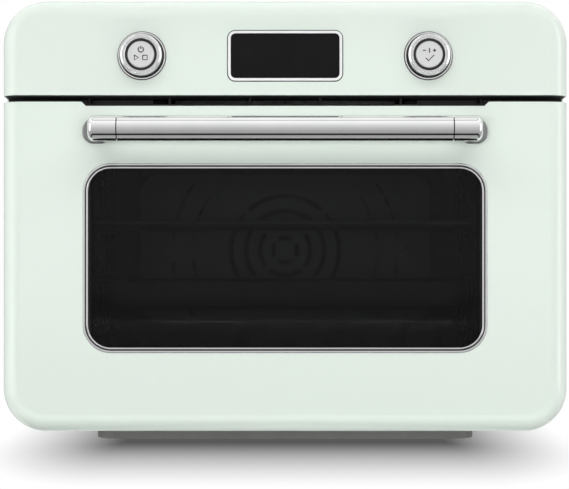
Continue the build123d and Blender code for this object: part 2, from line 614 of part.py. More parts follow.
def make_ring_element():
    """Heating ring round the impeller, with two tails out through the rear wall."""
    y, r, wire = 174.0, RING_R, HEATER_WIRE
    start, end = math.radians(-RING_END), math.radians(180 + RING_END)
    first = (r * math.cos(start), y, FAN_Z + r * math.sin(start))
    middle = (0, y, FAN_Z + r)
    last = (r * math.cos(end), y, FAN_Z + r * math.sin(end))
    arc = ThreePointArc(first, middle, last)
    ring = sweep(Plane(origin=arc @ 0, z_dir=arc % 0) * Circle(wire), path=arc)
    joints = [Pos(*point) * Sphere(wire + 0.3) for point in (first, last)]
    tails = []
    for side in (-1, 1):
        x = side * TAIL_X
        tails.append(wire_path([(x, y, first[2]), (x, y, TAIL_Z), (x, 205, TAIL_Z)], 6, wire))
    return fused([ring, *joints, *tails])


def tube_heater(z, reach):
    """Bent tube heater: eight even runs from front to back, with its two ends out through the rear wall."""
    front, back, points = -118.0, 140.0, []
    for i, x in enumerate(HEATER_RUNS):
        near, far = (back, front) if i % 2 == 0 else (front, back)
        points += [(x, near, z), (x, far, z)]
    points[0] = (HEATER_RUNS[0], reach, z)
    points[-1] = (HEATER_RUNS[-1], reach, z)
    return wire_path(points, 14, HEATER_WIRE)


def make_grill_element():
    return tube_heater(GRILL_Z, 206)


def make_element_hangers():
    """Four brackets under the ceiling, each with a bar over two runs of the upper heater."""
    top = GRILL_Z + HEATER_WIRE
    hangers = []
    for x in (-120, 120):
        for y in (-60, 60):
            bar = block(x - 24, x + 24, y - 1.5, y + 1.5, top, top + 1.5)
            post = block(x - 1.5, x + 1.5, y - 1.5, y + 1.5, top + 1, CAVITY_Z1)
            hangers.append(fused([bar, post]))
    return hangers


def make_lower_element():
    """The same heater under the cavity floor."""
    return tube_heater(CAVITY_Z0 - LINER - HEATER_WIRE - 0.2, 205)


def make_insulation():
    """Fibre blanket over the top and sides of the cavity."""
    outer = block(-204, 204, -150, 192, 64, DECK_Z - 0.2)
    inner = block(-CAVITY_X - 1.3, CAVITY_X + 1.3, -160, 200, 0, CAVITY_Z1 + 1.3)
    blanket = outer - inner
    return blanket - rod_x(LAMP_Y, LAMP_Z, 22, -210, -180)


def make_rack_ladder():
    """Side support: pairs of rails at four heights on two uprights, with studs to the cavity wall."""
    uprights = [rod_z(LADDER_X + 3.4, y, 1.8, 78, 252) for y in (-120, 135)]
    rails = []
    for z in LADDER_LEVELS:
        rails += [rod_y(LADDER_X, rail_z, LADDER_WIRE, -150, 152) for rail_z in (z - LADDER_WIRE, z + 8.0)]
    studs = [rod_x(y, z, 3.0, LADDER_X + 2.4, CAVITY_X) for y in (-120, 135) for z in (104, 222)]
    return fused([*uprights, *rails, *studs])


def make_wire_rack():
    """Chrome shelf: a bent frame on the rails, cross bars and long wires over them."""
    x, y0, y1, r = LADDER_X - 1.6, -146.0, 150.0, 2.2
    z = RACK_Z + RUN_GAP + r
    half = wire_path([(0, y0, z), (x, y0, z), (x, y1, z), (0, y1, z)], 12, r)
    frame = fused([half, mirrored(half)])
    bars = [rod_x(y, z, 1.8, -x, x) for y in (-60, 60)]
    wires = [rod_y(wx, z + 1.2, 1.3, y0, y1) for wx in range(-162, 163, 18)]
    return fused([frame, *bars, *wires])


def make_baking_tray():
    """Pressed tray whose rim runs on the ladder rails."""
    rim_z, depth, t = PAN_Z + RUN_GAP, 24.0, 1.0
    centre_y, half_y = 0.0, 146.0
    width, length, inner_length = 334.0, 2 * half_y - 26, 2 * half_y - 26 - 2 * t
    rim = Pos(0, centre_y, rim_z) * extrude(RectangleRounded(2 * LADDER_X + 2, 2 * half_y, 12), amount=t)
    outer = Pos(0, centre_y, rim_z - depth) * extrude(RectangleRounded(width, length, 16), amount=depth)
    outer = fillet(outer.faces().sort_by(Axis.Z)[0].edges(), 5)
    inside = extrude(RectangleRounded(width - 2 * t, inner_length, 15), amount=depth + 5)
    inner = Pos(0, centre_y, rim_z - depth + t) * inside
    inner = fillet(inner.faces().sort_by(Axis.Z)[0].edges(), 4)
    return fused([rim, outer]) - inner


def make_oven_lamp():
    """Lamp holder outside the cavity's left wall, with its bulb inside the glass."""
    holder = rod_x(LAMP_Y, LAMP_Z, 17, -230, -200) + rod_x(LAMP_Y, LAMP_Z, 18, -204.5, -CAVITY_X - LINER)
    holder -= rod_x(LAMP_Y, LAMP_Z, 15, -200, -180)
    bulb = rod_x(LAMP_Y, LAMP_Z, 4.5, -201, -190) + Pos(-190, LAMP_Y, LAMP_Z) * Sphere(4.5)
    return fused([holder, bulb])


def make_lamp_glass():
    neck = rod_x(LAMP_Y, LAMP_Z, 18, -CAVITY_X - LINER, -183.0)
    dome = neck + rod_x(LAMP_Y, LAMP_Z, 21, -CAVITY_X, -184.4)
    dome -= rod_x(LAMP_Y, LAMP_Z, 15.5, -200, -184.6)
    return dome - rod_x(LAMP_Y, LAMP_Z, 24, -200, -CAVITY_X - LINER)


# ---------------------------------------------------------------- drip tray
def tray_outline(inset):
    """Plan of the drip tray: rounded front corners, square back."""
    x, y0, y1, r = TRAY_X - inset, TRAY_FRONT + inset, TRAY_BACK - inset, 22.0 - inset
    plan = Pos(0, (y0 + y1) / 2) * Rectangle(2 * x, y1 - y0)
    front = [v for v in plan.vertices() if v.Y < (y0 + y1) / 2]
    return fillet(front, r)


def make_drip_tray():
    floor, top, t = 1.0, 7.8, 1.2
    body = Pos(0, 0, floor) * extrude(tray_outline(0), amount=top - floor)
    flange = block(TRAY_X - 2, TRAY_X + 3, TRAY_RUN_FRONT, TRAY_BACK, 6.9, top)
    hollow = Pos(0, 0, floor + t) * extrude(tray_outline(t), amount=top)
    return fused([body, flange, mirrored(flange)]) - hollow


def make_tray_guides():
    """Two angles under the base plate that carry the drip tray's flanges."""
    top, bottom, outside = BODY_Z + SHEET, 5.2, TRAY_X + 5
    web = block(TRAY_X + 3.5, outside, TRAY_RUN_FRONT, TRAY_BACK, bottom, top)
    lip = block(TRAY_X + 0.8, outside, TRAY_RUN_FRONT, TRAY_BACK, bottom, bottom + SHEET)
    guide = fused([web, lip])
    return [guide, mirrored(guide)]


# ---------------------------------------------------------------- build
def main():
    os.makedirs("parts", exist_ok=True)
    save("door_shell", make_door_shell())
    save("control_fascia", make_control_fascia())
    save("window_trim", make_window_trim())
    save("outer_glass", make_outer_glass())
    save("inner_glass", make_inner_glass())
    save("glass_retainers", make_glass_retainers())
    save("door_inner_panel", make_door_inner_panel())
    save("handle_bar", make_handle_bar())
    bracket, screw = make_handle_bracket(), make_handle_screw()
    save("handle_brackets", [bracket, mirrored(bracket)])
    save("handle_screws", [screw, mirrored(screw)])
    knuckle, pin, leaf = make_hinge_knuckle(), make_hinge_pin(), make_hinge_leaf()
    save("hinge_knuckles", [knuckle, mirrored(knuckle)])
    save("hinge_pins", [pin, mirrored(pin)])
    save("hinge_leaves", [leaf, mirrored(leaf)])
    for name, x in (("left", -KNOB_X), ("right", KNOB_X)):
        save(f"{name}_knob_ring", make_knob_ring(x))
        save(f"{name}_knob_core", make_knob_core(x))
        save(f"{name}_button", make_button(x))
        save(f"{name}_button_spring", make_button_spring(x))
    save("knob_bezels", [make_knob_bezel(-KNOB_X), make_knob_bezel(KNOB_X)])
    save("encoders", [make_encoder(-KNOB_X), make_encoder(KNOB_X)])
    save("display_bezel", make_display_bezel())
    save("display_glass", make_display_glass())
    save("display_module", make_display_module())
    save("control_board", make_control_board())
    save("vent_grille", make_vent_grille())
    save("cabinet_shell", make_cabinet_shell())
    save("base_plate", make_base_plate())
    save("rear_panel", make_rear_panel())
    save("cord_gland", make_cord_gland())
    save("front_frame", make_front_frame())
    save("door_gasket", make_door_gasket())
    save("upper_deck", make_upper_deck())
    save("cooling_fan_housing", make_cooling_housing())
    save("cooling_fan_wheel", make_cooling_wheel())
    save("cooling_fan_motor", make_cooling_motor())
    save("power_board", make_power_board())
    save("rubber_feet", make_rubber_feet())
    save("cabinet_screws", make_cabinet_screws())
    save("cavity_wrap", make_cavity_wrap())
    save("cavity_rear_wall", make_cavity_rear_wall())
    save("fan_cover", make_fan_cover())
    save("fan_cover_screws", make_fan_cover_screws())
    save("fan_impeller", make_fan_impeller())
    save("fan_shaft", make_fan_shaft())
    save("fan_motor", make_fan_motor())
    save("ring_element", make_ring_element())
    save("grill_element", make_grill_element())
    save("element_hangers", make_element_hangers())
    save("lower_element", make_lower_element())
    save("insulation_blanket", make_insulation())
    ladder = make_rack_ladder()
    save("rack_ladders", [ladder, mirrored(ladder)])
    save("wire_rack", make_wire_rack())
    save("baking_tray", make_baking_tray())
    save("oven_lamp", make_oven_lamp())
    save("lamp_glass", make_lamp_glass())
    save("drip_tray", make_drip_tray())


main()
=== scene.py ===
import math

import bpy
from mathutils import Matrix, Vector
from mathutils.noise import noise as lumps


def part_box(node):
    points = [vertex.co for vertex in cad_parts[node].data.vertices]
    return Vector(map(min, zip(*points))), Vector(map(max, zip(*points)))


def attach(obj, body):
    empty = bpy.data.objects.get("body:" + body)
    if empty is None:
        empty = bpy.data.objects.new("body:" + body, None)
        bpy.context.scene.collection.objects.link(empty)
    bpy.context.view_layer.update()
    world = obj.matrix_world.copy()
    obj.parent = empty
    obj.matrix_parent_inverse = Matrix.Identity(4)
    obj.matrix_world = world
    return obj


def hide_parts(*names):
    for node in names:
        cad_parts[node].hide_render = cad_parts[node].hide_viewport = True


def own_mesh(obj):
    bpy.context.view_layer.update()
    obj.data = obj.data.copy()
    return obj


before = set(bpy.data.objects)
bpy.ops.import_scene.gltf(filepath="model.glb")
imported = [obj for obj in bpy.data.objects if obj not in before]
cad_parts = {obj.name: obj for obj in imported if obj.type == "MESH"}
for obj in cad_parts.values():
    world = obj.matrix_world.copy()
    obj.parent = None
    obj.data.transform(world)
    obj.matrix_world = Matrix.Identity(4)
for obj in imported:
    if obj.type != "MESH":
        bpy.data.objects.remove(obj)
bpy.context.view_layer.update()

# ---------------------------------------------------------------- camera and studio
# The oven stands on a pale sweep of card under soft boxes, seen square on from a little under half its height.
# The lens is long, so that the rolled edges stay parallel, and nothing is out of focus. The walls have a dark band
# low down, which draws the dark line along the underside of every chromed piece.
VIEW_HEIGHT, VIEW_DISTANCE = 0.1611, 1.735
lens = bpy.data.cameras.new("front_camera")
lens.lens, lens.sensor_width = 111.67, 36.0
lens.shift_x, lens.shift_y = -0.0011, 0.0237
camera = bpy.data.objects.new("front_camera", lens)
camera.location = (0, -VIEW_DISTANCE, VIEW_HEIGHT)
camera.rotation_euler = (math.radians(90), 0, 0)
bpy.context.collection.objects.link(camera)
bpy.context.scene.camera = camera
bpy.context.scene.view_settings.view_transform = "Standard"


def add(tree, kind, inputs=None, **settings):
    """One shader node; inputs are values, or sockets to link from."""
    made = tree.nodes.new(kind)
    for key, value in settings.items():
        setattr(made, key, value)
    for key, value in (inputs or {}).items():
        if isinstance(value, bpy.types.NodeSocket):
            tree.links.new(value, made.inputs[key])
        else:
            made.inputs[key].default_value = value
    return made


def ramp(tree, value, stops):
    """A colour ramp through (position, brightness) stops."""
    made = add(tree, "ShaderNodeValToRGB", {0: value})
    points = made.color_ramp.elements
    while len(points) < len(stops):
        points.new(0.5)
    for point, (place, grey) in zip(points, stops):
        point.position, point.color = place, (grey, grey, grey, 1)
    return made.outputs["Color"]


world = bpy.data.worlds.new("studio_room")
bpy.context.scene.world = world
world.use_nodes = True
room = world.node_tree
sky_z = add(room, "ShaderNodeSeparateXYZ", {0: add(room, "ShaderNodeTexCoord").outputs["Generated"]}).outputs["Z"]
height = add(room, "ShaderNodeMapRange", {"Value": sky_z, "From Min": -1.0, "From Max": 1.0}).outputs["Result"]
walls = ramp(room, height, [(0.0, 0.38), (0.035, 0.32), (0.045, 0.01), (0.106, 0.01), (0.116, 0.30), (0.20, 0.40),
                            (0.27, 0.39), (0.344, 0.47), (0.50, 0.56), (0.65, 0.69), (0.80, 0.86), (0.90, 1.02),
                            (0.955, 1.08), (0.964, 0.62), (0.990, 0.62), (0.996, 1.12)])
AMBIENT = 0.14
rays = add(room, "ShaderNodeLightPath")
spread = add(room, "ShaderNodeMix", {"Factor": rays.outputs["Is Diffuse Ray"], "A": walls,
                                     "B": (AMBIENT, AMBIENT, AMBIENT, 1)}, data_type="RGBA")
backdrop = add(room, "ShaderNodeMix", {"Factor": rays.outputs["Is Camera Ray"], "A": spread.outputs["Result"],
                                       "B": (1.0, 1.0, 1.0, 1)}, data_type="RGBA")
room.links.new(backdrop.outputs["Result"], room.nodes["Background"].inputs["Color"])


def soft_box(name, place, aim, width, height, watts, diffuse=True, glossy=True):
    """A rectangular soft light at place, turned to aim. It lights matt surfaces, shows in glossy ones, or both."""
    light = bpy.data.lights.new(name, "AREA")
    light.shape, light.size, light.size_y, light.energy = "RECTANGLE", width, height, watts
    made = bpy.data.objects.new(name, light)
    made.location = place
    made.rotation_euler = (Vector(aim) - Vector(place)).to_track_quat("-Z", "Y").to_euler()
    made.visible_diffuse, made.visible_glossy, made.visible_transmission = diffuse, glossy, glossy
    made.visible_camera = False
    bpy.context.collection.objects.link(made)


MIDDLE = (0, 0, 0.19)
soft_box("overhead", (0, 0.40, 1.9), (0, 0.40, 0), 5.0, 1.2, 36, glossy=False)
soft_box("front_fill", (0, -3.2, 0.16), (0, 0, 0.16), 3.0, 0.28, 41, glossy=False)
soft_box("high_fill", (0, -3.0, 1.5), (0, -0.19, 0.27), 3.2, 0.25, 15, glossy=False)
soft_box("upper_fill", (0, -1.8, 2.0), (0, -0.19, 0.30), 3.2, 0.5, 19, glossy=False)
soft_box("under_fill", (0, -0.32, -0.6), (0, -0.19, 0.05), 1.6, 0.3, 8, glossy=False)
soft_box("left_fill", (-3.0, 0.10, 0.24), (0, 0.1, 0.2), 1.0, 0.4, 26, glossy=False)
soft_box("right_fill", (3.0, 0.10, 0.24), (0, 0.1, 0.2), 1.0, 0.4, 22, glossy=False)
soft_box("left_gloss", (-2.0, -1.0, 0.5), MIDDLE, 1.2, 1.8, 7, diffuse=False)
soft_box("right_gloss", (2.0, -0.8, 0.5), MIDDLE, 0.8, 1.8, 6, diffuse=False)

floor_mesh = bpy.data.meshes.new("floor")
FLOOR_REACH = 6.0
corners = [(x * FLOOR_REACH, y * FLOOR_REACH, 0) for x, y in ((-1, -1), (1, -1), (1, 1), (-1, 1))]
floor_mesh.from_pydata(corners, [], [(0, 1, 2, 3)])
floor = bpy.data.objects.new("floor", floor_mesh)
bpy.context.collection.objects.link(floor)
card = bpy.data.materials.new("pale_card")
card.use_nodes = True
paper, surface = card.node_tree, card.node_tree.nodes["Principled BSDF"]
for key, value in (("Roughness", 0.9), ("Specular IOR Level", 0.0), ("Emission Strength", 1.0)):
    surface.inputs[key].default_value = value
seen = add(paper, "ShaderNodeLightPath").outputs["Is Camera Ray"]
BOUNCE = 0.35                                            # how much light the card throws back up at the oven
bounce = add(paper, "ShaderNodeMix", {"Factor": seen, "A": (BOUNCE, BOUNCE, BOUNCE, 1), "B": (0, 0, 0, 1)},
             data_type="RGBA")
paper.links.new(bounce.outputs["Result"], surface.inputs["Base Color"])
# The card shows the camera only its glow, and under the oven the glow holds a painted shadow, darkest at its
# middle and fading out past its sides, its front and its back.
SHADE_AT, SHADE_HALF, SHADE_FADE = (0, 0.02), (0.14, 0.215), (0.11, 0.30)
SHADE_REACH = 4.0                                        # distances are measured out to this many fades
place = add(paper, "ShaderNodeSeparateXYZ", {0: add(paper, "ShaderNodeTexCoord").outputs["Object"]})
squares = []
for axis, at, half, fade in zip("XY", SHADE_AT, SHADE_HALF, SHADE_FADE):
    off = add(paper, "ShaderNodeMath", {0: place.outputs[axis], 1: at}, operation="SUBTRACT")
    apart = add(paper, "ShaderNodeMath", {0: off.outputs[0]}, operation="ABSOLUTE")
    past = add(paper, "ShaderNodeMapRange", {"Value": apart.outputs[0], "From Min": half,
                                             "From Max": half + SHADE_REACH * fade, "To Max": SHADE_REACH})
    squares.append(add(paper, "ShaderNodeMath", {0: past.outputs[0], 1: 2.0}, operation="POWER").outputs[0])
both = add(paper, "ShaderNodeMath", {0: squares[0], 1: squares[1]}, operation="ADD")
outward = add(paper, "ShaderNodeMath", {0: both.outputs[0]}, operation="SQRT")
painted_shadow_glow = ramp(paper, outward.outputs[0], [(0.0, 0.10), (0.07, 0.145), (0.20, 0.27), (0.42, 0.50), (0.66, 0.73),
                                    (0.88, 0.92), (1.0, 1.0)])
lit = add(paper, "ShaderNodeMix", {"Factor": seen, "A": (0, 0, 0, 1), "B": painted_shadow_glow}, data_type="RGBA")
paper.links.new(lit.outputs["Result"], surface.inputs["Emission Color"])
floor_mesh.materials.append(card)
floor.visible_glossy = floor.visible_shadow = False


# ---------------------------------------------------------------- cabinet shell
# One wrapped sheet of steel, folded to the oven's rounded outline, enamelled pale green and baked. The enamel has
# a deep gloss with a faint ripple, as sprayed and fired coats do, and hardly any change of tone.
def group(name, inputs, outputs):
    """A shader node group with named sockets: returns its tree, its inputs and its outputs."""
    tree = bpy.data.node_groups.new(name, "ShaderNodeTree")
    for label, kind, value in inputs:
        tree.interface.new_socket(label, in_out="INPUT", socket_type=f"NodeSocket{kind}").default_value = value
    for label, kind in outputs:
        tree.interface.new_socket(label, in_out="OUTPUT", socket_type=f"NodeSocket{kind}")
    return tree, tree.nodes.new("NodeGroupInput").outputs, tree.nodes.new("NodeGroupOutput").inputs


def use(tree, grouped, **values):
    """Places a node group in a material; words in a value's name are joined by underscores."""
    made = tree.nodes.new("ShaderNodeGroup")
    made.node_tree = grouped
    for key, value in values.items():
        label = key.replace("_", " ")
        if isinstance(value, bpy.types.NodeSocket):
            tree.links.new(value, made.inputs[label])
        else:
            made.inputs[label].default_value = value
    return made.outputs


# Grain: noise at a given size in metres, stretched along an axis where a finish is drawn or brushed.
grain, taken, given = group("grain", [("Size", "Float", 0.002), ("Stretch", "Vector", (1, 1, 1)),
                                      ("Detail", "Float", 2.0)], [("Height", "Float"), ("Mask", "Float")])
spot = add(grain, "ShaderNodeTexCoord").outputs["Object"]
stretched = add(grain, "ShaderNodeVectorMath", {0: spot, 1: taken["Stretch"]}, operation="MULTIPLY")
per_metre = add(grain, "ShaderNodeMath", {0: 1.0, 1: taken["Size"]}, operation="DIVIDE")
noise = add(grain, "ShaderNodeTexNoise", {"Vector": stretched.outputs[0], "Scale": per_metre.outputs[0],
                                          "Detail": taken["Detail"]})
spread = add(grain, "ShaderNodeMapRange", {"Value": noise.outputs[0], "From Min": 0.3, "From Max": 0.7})
grain.links.new(noise.outputs[0], given["Height"])
grain.links.new(spread.outputs[0], given["Mask"])

# Tone: a colour that drifts between itself and a second colour over a mask.
tone, taken, given = group("tone", [("Color", "Color", (1, 1, 1, 1)), ("Second", "Color", (1, 1, 1, 1)),
                                    ("Mask", "Float", 0.0), ("Amount", "Float", 1.0)], [("Color", "Color")])
share = add(tone, "ShaderNodeMath", {0: taken["Mask"], 1: taken["Amount"]}, operation="MULTIPLY")
drift = add(tone, "ShaderNodeMix", {"Factor": share.outputs[0], "A": taken["Color"], "B": taken["Second"]},
            data_type="RGBA")
tone.links.new(drift.outputs["Result"], given["Color"])

# Polish: a roughness that drifts between two values over a mask.
polish, taken, given = group("polish", [("Low", "Float", 0.1), ("High", "Float", 0.2), ("Mask", "Float", 0.0)],
                             [("Roughness", "Float")])
drift = add(polish, "ShaderNodeMapRange", {"Value": taken["Mask"], "To Min": taken["Low"],
                                           "To Max": taken["High"]})
polish.links.new(drift.outputs[0], given["Roughness"])


def new_material(name, **plain):
    """A material and its shader, with its plain values set on the shader's own sockets."""
    made = bpy.data.materials.new(name)
    made.use_nodes = True
    shader = made.node_tree.nodes["Principled BSDF"]
    for key, value in plain.items():
        shader.inputs[key.replace("_", " ")].default_value = value
    return made, made.node_tree, shader


def finish(name, first, second, rough, patch, relief, strength, stretch=(1, 1, 1), fine=None, **plain):
    """A surface whose colour and polish drift over patches and whose relief is a grain at the size given."""
    made, tree, shader = new_material(name, **plain)
    broad = use(tree, grain, Size=patch, Stretch=stretch, Detail=3.0)
    colour = use(tree, tone, Color=(*first, 1), Second=(*second, 1), Mask=broad["Mask"])
    tree.links.new(colour["Color"], shader.inputs["Base Color"])
    gloss = use(tree, polish, Low=rough[0], High=rough[1], Mask=broad["Mask"])
    tree.links.new(gloss["Roughness"], shader.inputs["Roughness"])
    close = use(tree, grain, Size=relief, Stretch=fine or stretch, Detail=2.0)
    bump = add(tree, "ShaderNodeBump", {"Height": close["Height"], "Strength": strength,
                                        "Distance": relief * 0.2})
    tree.links.new(bump.outputs[0], shader.inputs["Normal"])
    return made


def coat(material, *names):
    """Gives CAD nodes their finish."""
    for name in names:
        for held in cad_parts[name].material_slots:
            held.material = material


GREEN, GREEN_DEEP = (0.770, 0.850, 0.782), (0.762, 0.846, 0.775)
enamel = finish("green_enamel", GREEN, GREEN_DEEP, (0.10, 0.15), 0.08, 0.006, 0.05, Coat_Weight=0.5,
                Coat_Roughness=0.03)
coat(enamel, "cabinet_shell")

# ---------------------------------------------------------------- base plate, rear panel and their fixings
# Zinc-coated sheet, pressed and pierced, held by pan-head screws, as are the deck over the cavity and the small
# brackets. The coating has set in crystals of lighter and darker grey, and the sheet has a faint rolling grain.
ZINC, ZINC_DULL = (0.52, 0.54, 0.55), (0.38, 0.40, 0.41)
spangle, taken, given = group("spangle", [("Size", "Float", 0.008)], [("Mask", "Float")])
spot = add(spangle, "ShaderNodeTexCoord").outputs["Object"]
per_metre = add(spangle, "ShaderNodeMath", {0: 1.0, 1: taken["Size"]}, operation="DIVIDE")
waver = add(spangle, "ShaderNodeTexNoise", {"Vector": spot, "Scale": per_metre.outputs[0], "Detail": 2.0})
bent = add(spangle, "ShaderNodeVectorMath", {0: waver.outputs["Color"], "Scale": taken["Size"]},
           operation="SCALE")
moved = add(spangle, "ShaderNodeVectorMath", {0: spot, 1: bent.outputs[0]}, operation="ADD")
crystals = add(spangle, "ShaderNodeTexVoronoi", {"Vector": moved.outputs[0], "Scale": per_metre.outputs[0]})
shades = add(spangle, "ShaderNodeSeparateColor", {0: crystals.outputs["Color"]})
spangle.links.new(shades.outputs["Red"], given["Mask"])

SPANGLE = 0.007
zinc, tree, shader = new_material("zinc_sheet", Metallic=1.0)
crystal = use(tree, spangle, Size=SPANGLE)
colour = use(tree, tone, Color=(*ZINC, 1), Second=(*ZINC_DULL, 1), Mask=crystal["Mask"], Amount=0.7)
tree.links.new(colour["Color"], shader.inputs["Base Color"])
gloss = use(tree, polish, Low=0.30, High=0.46, Mask=crystal["Mask"])
tree.links.new(gloss["Roughness"], shader.inputs["Roughness"])
rolled = use(tree, grain, Size=0.0015, Stretch=(1, 0.3, 1))
bump = add(tree, "ShaderNodeBump", {"Height": rolled["Height"], "Strength": 0.12, "Distance": 0.0003})
tree.links.new(bump.outputs[0], shader.inputs["Normal"])
coat(zinc, "base_plate", "rear_panel", "upper_deck", "glass_retainers", "element_hangers")
screw_steel = finish("screw_steel", (0.60, 0.60, 0.58), (0.46, 0.45, 0.42), (0.22, 0.35), 0.003, 0.0006, 0.15,
                     Metallic=1.0)
coat(screw_steel, "cabinet_screws", "handle_screws")

# The cord gland is a moulded nylon bush with a spark-eroded texture.
nylon = finish("black_nylon", (0.012, 0.012, 0.013), (0.020, 0.020, 0.021), (0.42, 0.58), 0.006, 0.0008, 0.35)
coat(nylon, "cord_gland")

# Feet are pressed rubber pads, dusty where they have stood.
rubber = finish("foot_rubber", (0.018, 0.018, 0.018), (0.045, 0.044, 0.042), (0.6, 0.8), 0.005, 0.0006, 0.4)
coat(rubber, "rubber_feet")

# ---------------------------------------------------------------- front frame, gasket and hinge leaves
# The frame round the cavity's mouth is sheet steel in satin black enamel, like the panel that closes the door's
# inside. A moulded silicone seal lies between them, and the door hangs on two plated steel hinges.
black_frame = finish("black_frame_enamel", (0.012, 0.012, 0.013), (0.018, 0.018, 0.019), (0.30, 0.42), 0.02,
                     0.0012, 0.10, Coat_Weight=0.2, Coat_Roughness=0.2)
coat(black_frame, "front_frame", "door_inner_panel")
silicone = finish("silicone_seal", (0.020, 0.020, 0.022), (0.034, 0.034, 0.036), (0.5, 0.62), 0.006, 0.0010, 0.2)
coat(silicone, "door_gasket")
hinge_steel = finish("hinge_steel", (0.56, 0.56, 0.55), (0.42, 0.42, 0.41), (0.25, 0.42), 0.008, 0.0006, 0.2,
                     (1, 1, 0.2), Metallic=1.0)
coat(hinge_steel, "hinge_leaves", "hinge_knuckles", "hinge_pins")

# ---------------------------------------------------------------- cavity
# The cavity's walls and the fan cover are sheet steel in dark vitreous enamel. It is glossy and slightly rippled,
# with the pale flecks that are sprayed in under the last coat.
flecks, taken, given = group("flecks", [("Color", "Color", (0, 0, 0, 1)), ("Fleck", "Color", (1, 1, 1, 1)),
                                        ("Size", "Float", 0.002), ("Share", "Float", 0.1)],
                             [("Color", "Color"), ("Mask", "Float")])
spot = add(flecks, "ShaderNodeTexCoord").outputs["Object"]
per_metre = add(flecks, "ShaderNodeMath", {0: 1.0, 1: taken["Size"]}, operation="DIVIDE")
cells = add(flecks, "ShaderNodeTexVoronoi", {"Vector": spot, "Scale": per_metre.outputs[0]})
inside = add(flecks, "ShaderNodeMath", {0: cells.outputs["Distance"], 1: taken["Share"]}, operation="LESS_THAN")
dotted = add(flecks, "ShaderNodeMix", {"Factor": inside.outputs[0], "A": taken["Color"], "B": taken["Fleck"]},
             data_type="RGBA")
flecks.links.new(dotted.outputs["Result"], given["Color"])
flecks.links.new(inside.outputs[0], given["Mask"])


def flecked(name, ground, fleck, size, share, rough, ripple):
    """Glossy enamel with flecks of a second colour, one to a cell of the size given."""
    made, tree, shader = new_material(name, Coat_Weight=0.3, Coat_Roughness=0.1)
    dots = use(tree, flecks, Color=(*ground, 1), Fleck=(*fleck, 1), Size=size, Share=share)
    tree.links.new(dots["Color"], shader.inputs["Base Color"])
    broad = use(tree, grain, Size=0.03)
    gloss = use(tree, polish, Low=rough[0], High=rough[1], Mask=broad["Mask"])
    tree.links.new(gloss["Roughness"], shader.inputs["Roughness"])
    wave = use(tree, grain, Size=0.005)
    bump = add(tree, "ShaderNodeBump", {"Height": wave["Height"], "Strength": ripple, "Distance": 0.001})
    tree.links.new(bump.outputs[0], shader.inputs["Normal"])
    return made


vitreous = flecked("vitreous_enamel", (0.050, 0.052, 0.055), (0.14, 0.14, 0.15), 0.0030, 0.16, (0.22, 0.34), 0.08)
coat(vitreous, "cavity_wrap", "cavity_rear_wall")
cover_enamel = flecked("cover_enamel", (0.105, 0.107, 0.110), (0.17, 0.17, 0.18), 0.0030, 0.14, (0.30, 0.42),
                       0.06)
coat(cover_enamel, "fan_cover")
oven_screw = finish("oven_screw_steel", (0.30, 0.295, 0.285), (0.20, 0.19, 0.18), (0.55, 0.7), 0.004, 0.0006, 0.1,
                    Metallic=0.4)
coat(oven_screw, "fan_cover_screws")

# Side ladders and the rack are steel wire welded where it crosses, in dark grey enamel.
wire_coat = finish("enamelled_wire", (0.030, 0.031, 0.033), (0.050, 0.050, 0.052), (0.30, 0.45), 0.01, 0.002,
                   0.08)
coat(wire_coat, "rack_ladders", "wire_rack")

# Heaters are mineral-filled steel tubes, oxidised dark and a little iridescent by heat.
sheath = finish("heater_sheath", (0.10, 0.095, 0.09), (0.16, 0.13, 0.11), (0.35, 0.55), 0.012, 0.0008, 0.3,
                Metallic=0.8)
coat(sheath, "grill_element", "lower_element", "ring_element")

# The lamp has a glazed ceramic holder and a pressed glass lens.
ceramic = finish("lamp_ceramic", (0.78, 0.76, 0.70), (0.70, 0.67, 0.60), (0.35, 0.5), 0.01, 0.001, 0.15)
coat(ceramic, "oven_lamp")
lens_glass, tree, shader = new_material("lamp_lens", Base_Color=(0.95, 0.96, 0.95, 1), Transmission_Weight=1.0,
                                        IOR=1.47, Roughness=0.06)
ribs = use(tree, grain, Size=0.004)
bump = add(tree, "ShaderNodeBump", {"Height": ribs["Height"], "Strength": 0.3, "Distance": 0.001})
tree.links.new(bump.outputs[0], shader.inputs["Normal"])
coat(lens_glass, "lamp_glass")

# ---------------------------------------------------------------- fans and motors
# The cooling fan's wheel and housing are bright sheet metal. The impeller behind the fan cover is painted dark, as
# painted shade for the dim cavity. The motors are stacks of thin steel plates with lacquered edges.
aluminium = finish("pressed_aluminium", (0.68, 0.69, 0.70), (0.54, 0.55, 0.56), (0.25, 0.4), 0.008, 0.0008, 0.15,
                   Metallic=1.0)
coat(aluminium, "cooling_fan_wheel", "cooling_fan_housing")
dark_impeller_metal = finish("shaded_impeller_metal", (0.060, 0.055, 0.052), (0.11, 0.095, 0.085), (0.4, 0.6), 0.015,
                     0.0008, 0.2, Metallic=0.7)
coat(dark_impeller_metal, "fan_impeller")
laminated = finish("motor_steel", (0.30, 0.31, 0.32), (0.20, 0.20, 0.21), (0.35, 0.55), 0.01, 0.0006, 0.3,
                   (1, 12, 1), Metallic=0.9)
coat(laminated, "fan_motor", "cooling_fan_motor")
coat(screw_steel, "fan_shaft")

